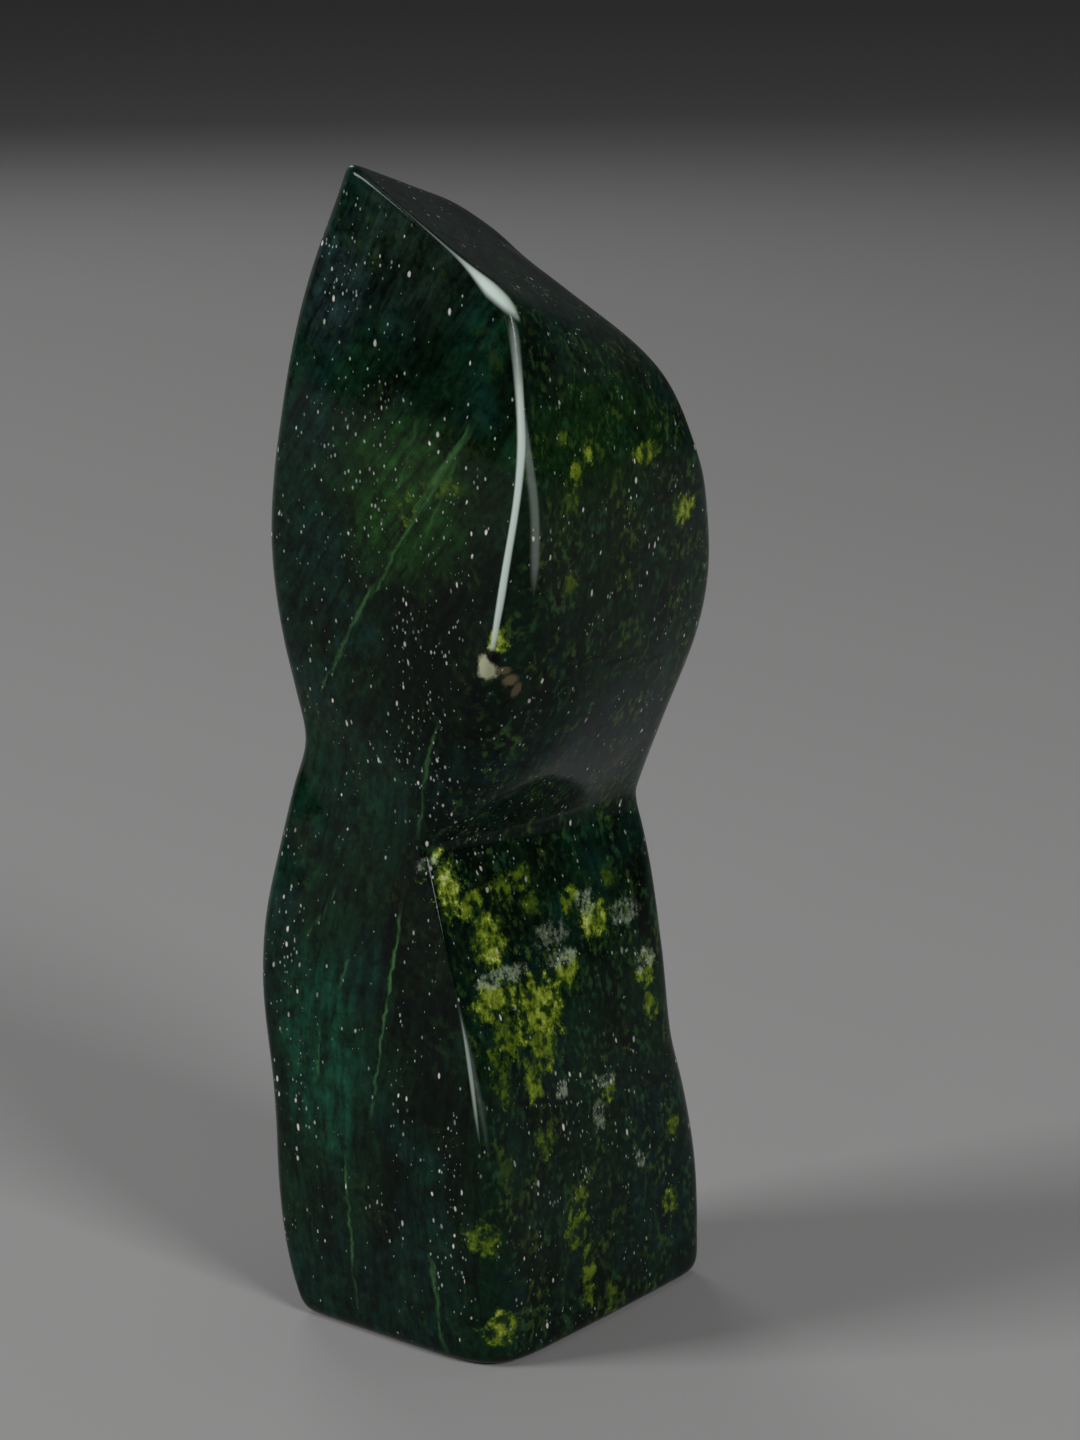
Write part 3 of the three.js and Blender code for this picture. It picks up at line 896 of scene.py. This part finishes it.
# %% Lay the veins
VEINS = {
    "long slant": ((138.6, 170.0), (-21.3, -10.0, 1.5), 1.3, 0.55),
    "long slant high": ((163.0, 188.0), (-2.5, 6.0, 13.5), 1.0, 0.6),
    "lime slant": ((173.0, 203.0), (4.0, 14.5, 26.0), 2.8, 0.5),
    "slant beside it": ((176.0, 206.0), (12.0, 19.5, 25.0), 1.2, 0.4),
    "upper tick": ((186.0, 203.0), (5.5, 9.0, 11.5), 1.2, 0.35),
    "low slant": ((48.0, 104.0), (-4.6, -0.4, 3.1), 0.9, 0.8),
    "left hook": ((86.0, 100.0), (-24.0, -19.4, -15.7), 1.1, 0.4),
    "left tick": ((77.0, 85.5), (-13.9, -12.2, -10.5), 0.9, 0.4),
    "left thread": ((55.0, 69.0), (-19.5, -19.0, -18.0), 0.9, 0.5),
    "foot thread": ((3.0, 42.5), (-10.4, -11.8, -12.2), 0.9, 0.6),
    "foot olive": ((1.0, 28.0), (14.5, 12.6, 10.9), 1.3, 0.6),
    "waist thread": ((112.0, 142.0), (6.0, 9.5, 15.0), 0.9, 0.4),
}
vein_place = bend(slightly_bent, 2.0, 1.6)
vein_masks = []
for name, ((low_end, high_end), (low, middle, high), width, strength) in VEINS.items():
    mask = use(tree, vein, Place=vein_place, Low_end=low_end, High_end=high_end, Low_across=low,
               Middle_across=middle, High_across=high, Width=width * 0.8)["Mask"]
    vein_masks.append(times(mask, strength))
vein_share = times(strongest(vein_masks), on_front, fade(tree, streaks, 0.36, 0.6))
colour = mix(vein_share, colour, (0.060, 0.170, 0.055, 1))
print("veins:", len(VEINS))

# %% [markdown]
# ### Pale grains
# The grains lie in streams along the fibres. Two sizes are scattered, and a list of places says where
# they lie dense. On the right face they gather in white caps over the lime patches.

# %% Scatter the grains
STREAMS = {
    "waist stream": ((9, -37, 134), (6, 30, 34), 1.0),
    "stream above it": ((17, -40, 168), (8, 30, 20), 0.5),
    "low stream": ((6, -39, 62), (4, 30, 20), 0.9),
    "foot stream": ((17, -38, 33), (6, 30, 22), 0.9),
    "under the point": ((-11, -37, 233), (8, 30, 14), 0.7),
    "upper middle": ((-4, -40, 190), (16, 30, 20), 0.6),
    "left edge": ((-27, -38, 70), (9, 30, 34), 0.35),
    "high caps": ((35.0, 15.0, 186.0), (6, 8, 4.0), 0.4),
    "low right": ((26, 0, 45), (8, 26, 14), 0.35),
}
CAPS = {
    "cap of the wing": ((18.5, -22.0, 82.6), (6, 7, 1.8), 0.9),
    "cap of the middle": ((18.3, -1.5, 82.2), (6, 4, 1.8), 0.9),
    "cap of the yellow": ((16.2, 10.0, 91.5), (6, 3, 2.4), 0.9),
    "cap left of the yellow": ((16.9, -3.8, 87.3), (6, 5, 2.6), 0.6),
    "cap at the back": ((16.5, 23.0, 86.5), (6, 5, 2.6), 0.7),
    "far cap": ((19.0, 27.5, 74.8), (6, 3.6, 2.4), 1.0),
    "low cap": ((24.4, -9.6, 55.6), (6, 1.8, 1.8), 0.9),
    "low cap right": ((24.2, 7.0, 53.4), (6, 3.0, 1.4), 0.8),
    "low cap centre": ((25.3, 2.8, 46.4), (6, 2.0, 3.2), 0.8),
    "low cap back": ((25.9, 16.8, 32.9), (6, 1.8, 1.8), 0.9),
    "crease cap": ((10.2, -34.0, 107.5), (5, 2.2, 1.8), 0.9),
}
stream_noise = use(tree, cloud, Place=fibre_place, Size=4.5, Stretch=4.0, Detail=2.0, None_at=0.45, Full_at=0.62,
                   Seed=6.0)["Mask"]
dense_masks = []
for name, (centre, reach, strength) in STREAMS.items():
    mask = use(tree, patch, Place=slightly_bent, Centre=centre, Reach=reach, Softness=0.4)["Mask"]
    dense_masks.append(times(mask, strength))
cap_masks = []
for name, (centre, reach, strength) in CAPS.items():
    mask = use(tree, patch, Place=slightly_bent, Centre=centre, Reach=reach, Softness=0.3,
               Crumbs=crumbs, Raggedness=2.0)["Mask"]
    cap_masks.append(times(mask, strength))
dense = strongest(dense_masks)
caps = strongest(cap_masks)
scattered = reckon(tree, "MULTIPLY_ADD", stream_noise, 0.26, 0.04)
amount = reckon(tree, "MULTIPLY_ADD", dense, reckon(tree, "MULTIPLY_ADD", stream_noise, 0.4, 0.5), scattered)
amount = reckon(tree, "MULTIPLY_ADD", caps, 0.6, amount)
large = use(tree, grain, Place=slightly_bent, Spacing=1.8, Stretch=1.9, Radius=0.28, Amount=times(amount, 0.9))
small = use(tree, grain, Place=place, Spacing=0.95, Stretch=1.7, Radius=0.34, Amount=amount)
GRAIN_WHITE = (0.84, 0.88, 0.82, 1)
GRAIN_ROSE = (0.78, 0.62, 0.58, 1)
grain_colour = mix(times(large["Tint"], 0.6), GRAIN_WHITE, GRAIN_ROSE)
grain_share = times(large["Mask"], reckon(tree, "MULTIPLY_ADD", large["Tint"], 0.75, 0.2))
small_share = times(small["Mask"], reckon(tree, "MULTIPLY_ADD", small["Tint"], 0.7, 0.1))
cap_share = times(caps, fade(tree, crumbs, 0.42, 0.62), 0.6)
colour = mix(cap_share, colour, (0.42, 0.52, 0.36, 1))
colour = mix(small_share, colour, (0.44, 0.54, 0.46, 1))
colour = mix(grain_share, colour, grain_colour)
print("streams and caps:", len(STREAMS) + len(CAPS))

# %% [markdown]
# ### Painted edge highlights
# A pale line is painted along each edge. It is mostly a painted highlight, the shine that the rounded
# edges catch, with a little of the paleness of thin jade. Its strength changes along the edge, as the rounding does.

# %% Paint the highlights on the thin edges
front_ridge_highlight = fade(tree, read("to_front_ridge"), 1.4, 0.7)
right_ridge_highlight = fade(tree, read("to_right_ridge"), 1.0, 0.3)
rim_edge_highlight = fade(tree, read("to_rim"), 1.6, 0.8)
left_edge_highlight = fade(tree, read("to_left_edge"), 2.6, 1.2)
back_edge_highlight = fade(tree, read("to_back_edge"), 2.6, 1.2)
rise = read("rise")
across_parts = tree.nodes.new("ShaderNodeSeparateXYZ")
feed(tree, across_parts.inputs["Vector"], place)
high_ridge = fade(tree, rise, 46.0, 58.0)
low_ridge = times(fade(tree, rise, 2.0, -4.0), fade(tree, rise, -62.0, -44.0))
ridge_highlight_share = times(front_ridge_highlight, reckon(tree, "MAXIMUM", times(high_ridge, 0.92), times(low_ridge, 0.5)))
side_highlight_share = times(right_ridge_highlight, reckon(tree, "MAXIMUM", times(high_ridge, 0.22), times(low_ridge, 0.12)))
rim_highlight_strength = reckon(tree, "MULTIPLY_ADD", fade(tree, across_parts.outputs["X"], 16.0, 26.0), 0.65, 0.3)
painted_edge_highlight = strongest([ridge_highlight_share, side_highlight_share, times(rim_edge_highlight, rim_highlight_strength), times(left_edge_highlight, 0.05), times(back_edge_highlight, 0.05)])
# The pale colour of the painted edge highlight on the ridge, the rim and the side edges.
colour = mix(painted_edge_highlight, colour, (0.60, 0.70, 0.64, 1))
print("the ridge, the rim and the side edges are lit")

# %% [markdown]
# ### The ridge's lower end
# The painted ridge highlight ends in a cream spot of painted highlight, with a near-black spot of
# painted shade, as in a small pit, and a tan crack beside it; a thin dark line of painted reflection
# runs across the overhang. They are single marks, so they are small patches in colours of their own.

# %% Mark the ridge's lower end
MARKS = {
    # Painted highlight: the cream spot where the ridge's highlight widens at its lower end.
    "knob": ((28.2, -39.4, 153.6), (1.7, 5, 2.4), (0.46, 0.48, 0.30, 1), 0.9),
    # Painted shade: a near-black spot, the shade in a small pit.
    "hollow": ((29.9, -38.6, 156.0), (0.9, 3, 1.5), (0.0008, 0.0012, 0.0008, 1), 0.95),
    "tan crack high": ((30.6, -36.8, 152.8), (3, 1.5, 0.9), (0.16, 0.13, 0.06, 1), 0.6),
    "tan crack middle": ((30.8, -34.6, 150.6), (3, 1.6, 1.3), (0.20, 0.15, 0.08, 1), 0.6),
    "tan crack low": ((30.9, -32.6, 148.3), (3, 0.9, 1.7), (0.18, 0.14, 0.08, 1), 0.5),
    # Painted reflection: a thin dark line across the overhang, the edge of a dark mirrored image.
    "painted dark reflection line front": ((33.5, -12.0, 151.5), (8, 6.5, 0.45), (0.0006, 0.0010, 0.0012, 1), 0.8),
    "painted dark reflection line middle": ((32.0, 1.0, 149.2), (8, 7.5, 0.45), (0.0006, 0.0010, 0.0012, 1), 0.8),
    "painted dark reflection line back": ((30.0, 13.5, 146.8), (8, 6.5, 0.45), (0.0006, 0.0010, 0.0012, 1), 0.7),
}
finely_bent = bend(place, 2.5, 0.9)
for name, (centre, reach, tone, strength) in MARKS.items():
    mask = use(tree, patch, Place=finely_bent, Centre=centre, Reach=reach, Softness=0.3,
               Crumbs=crumbs, Raggedness=1.6)["Mask"]
    colour = mix(times(mask, strength), colour, tone)
feed(tree, shader.inputs["Base Color"], colour)
print("nodes in the jade:", len(tree.nodes))

# %% [markdown]
# ### Polish
# The polish is high but not even: grains and veins take it less well than the felt between them, and
# the wheel leaves a faint orange peel. Roughness and a Bump node carry this. The index of refraction
# of nephrite is about 1.61, set on the shader's own socket.

# %% Polish the stone
peel = texture(tree, "ShaderNodeTexNoise", place, 1 / 1.4, Detail=2.0)["Fac"]
roughness = reckon(tree, "MULTIPLY_ADD", mottle, 0.12, 0.05)
roughness = reckon(tree, "MULTIPLY_ADD", strongest([large["Mask"], small["Mask"]]), 0.2, roughness)
feed(tree, shader.inputs["Roughness"], roughness)
bump_height = reckon(tree, "MULTIPLY_ADD", large["Mask"], 0.5, times(peel, 0.4))
bump = tree.nodes.new("ShaderNodeBump")
bump.inputs["Strength"].default_value = 0.15
bump.inputs["Distance"].default_value = 0.0002
feed(tree, bump.inputs["Height"], bump_height)
feed(tree, shader.inputs["Normal"], bump.outputs["Normal"])
shader.inputs["IOR"].default_value = 1.61
shader.inputs["Specular IOR Level"].default_value = 0.1
print("the stone is polished")

# %% Set the stone in the frame
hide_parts("jade_stone")
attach(stone, "root")
print("the sculpture stands in for the CAD stone")

# %% [markdown]
# ## Floor and light
# A plain pale floor and soft lamps show the form. The lamps stand low, so that they light the upright
# faces more than the floor, whose mirror image would otherwise wash out the dark stone. A tall strip
# beside the camera runs a highlight down the ridge.

# %% Lay the floor
FLOOR_HALF = 16.0
floor_mesh = bpy.data.meshes.new("floor")
floor_mesh.from_pydata([(-FLOOR_HALF, -FLOOR_HALF, 0), (FLOOR_HALF, -FLOOR_HALF, 0),
                        (FLOOR_HALF, FLOOR_HALF, 0), (-FLOOR_HALF, FLOOR_HALF, 0)], [], [(0, 1, 2, 3)])
floor = bpy.data.objects.new("floor", floor_mesh)
bpy.context.scene.collection.objects.link(floor)
floor_finish = bpy.data.materials.new("pale_floor")
floor_finish.use_nodes = True
floor_shader = floor_finish.node_tree.nodes["Principled BSDF"]
floor_shader.inputs["Base Color"].default_value = (0.36, 0.36, 0.356, 1)
floor_shader.inputs["Roughness"].default_value = 0.8
floor_shader.inputs["Specular IOR Level"].default_value = 0.2
floor_mesh.materials.append(floor_finish)
print("floor:", 2 * FLOOR_HALF, "m wide")

# %% Hang the lamps
LAMPS = {
    "key": {"place": (-1550, -2200, 1500), "size": (1000, 1000), "power": 56.0},
    "fill": {"place": (2600, -700, 1650), "size": (900, 900), "power": 44.0},
    "ridge strip": {"place": (150, -640, 330), "size": (30, 300), "power": 0.12},
    "overhead": {"place": (60, 120, 1300), "size": (400, 400), "power": 0.8},
    "back": {"place": (-2300, 1500, 2000), "size": (1200, 1200), "power": 16.0},
}
AIM = Vector((0, 0, 125)) * MM
for name, lamp in LAMPS.items():
    lamp_data = bpy.data.lights.new(name.replace(" ", "_"), "AREA")
    lamp_data.shape = "RECTANGLE"
    lamp_data.size, lamp_data.size_y = (side * MM for side in lamp["size"])
    lamp_data.energy = lamp["power"]
    lamp_object = bpy.data.objects.new(name.replace(" ", "_"), lamp_data)
    lamp_object.location = Vector(lamp["place"]) * MM
    lamp_object.rotation_euler = (AIM - lamp_object.location).to_track_quat("-Z", "Y").to_euler()
    bpy.context.scene.collection.objects.link(lamp_object)
world = bpy.data.worlds.new("studio")
world.use_nodes = True
world.node_tree.nodes["Background"].inputs["Color"].default_value = (0.05, 0.05, 0.052, 1)
bpy.context.scene.world = world
bpy.context.scene.view_settings.view_transform = "Standard"
print("lamps:", ", ".join(LAMPS))
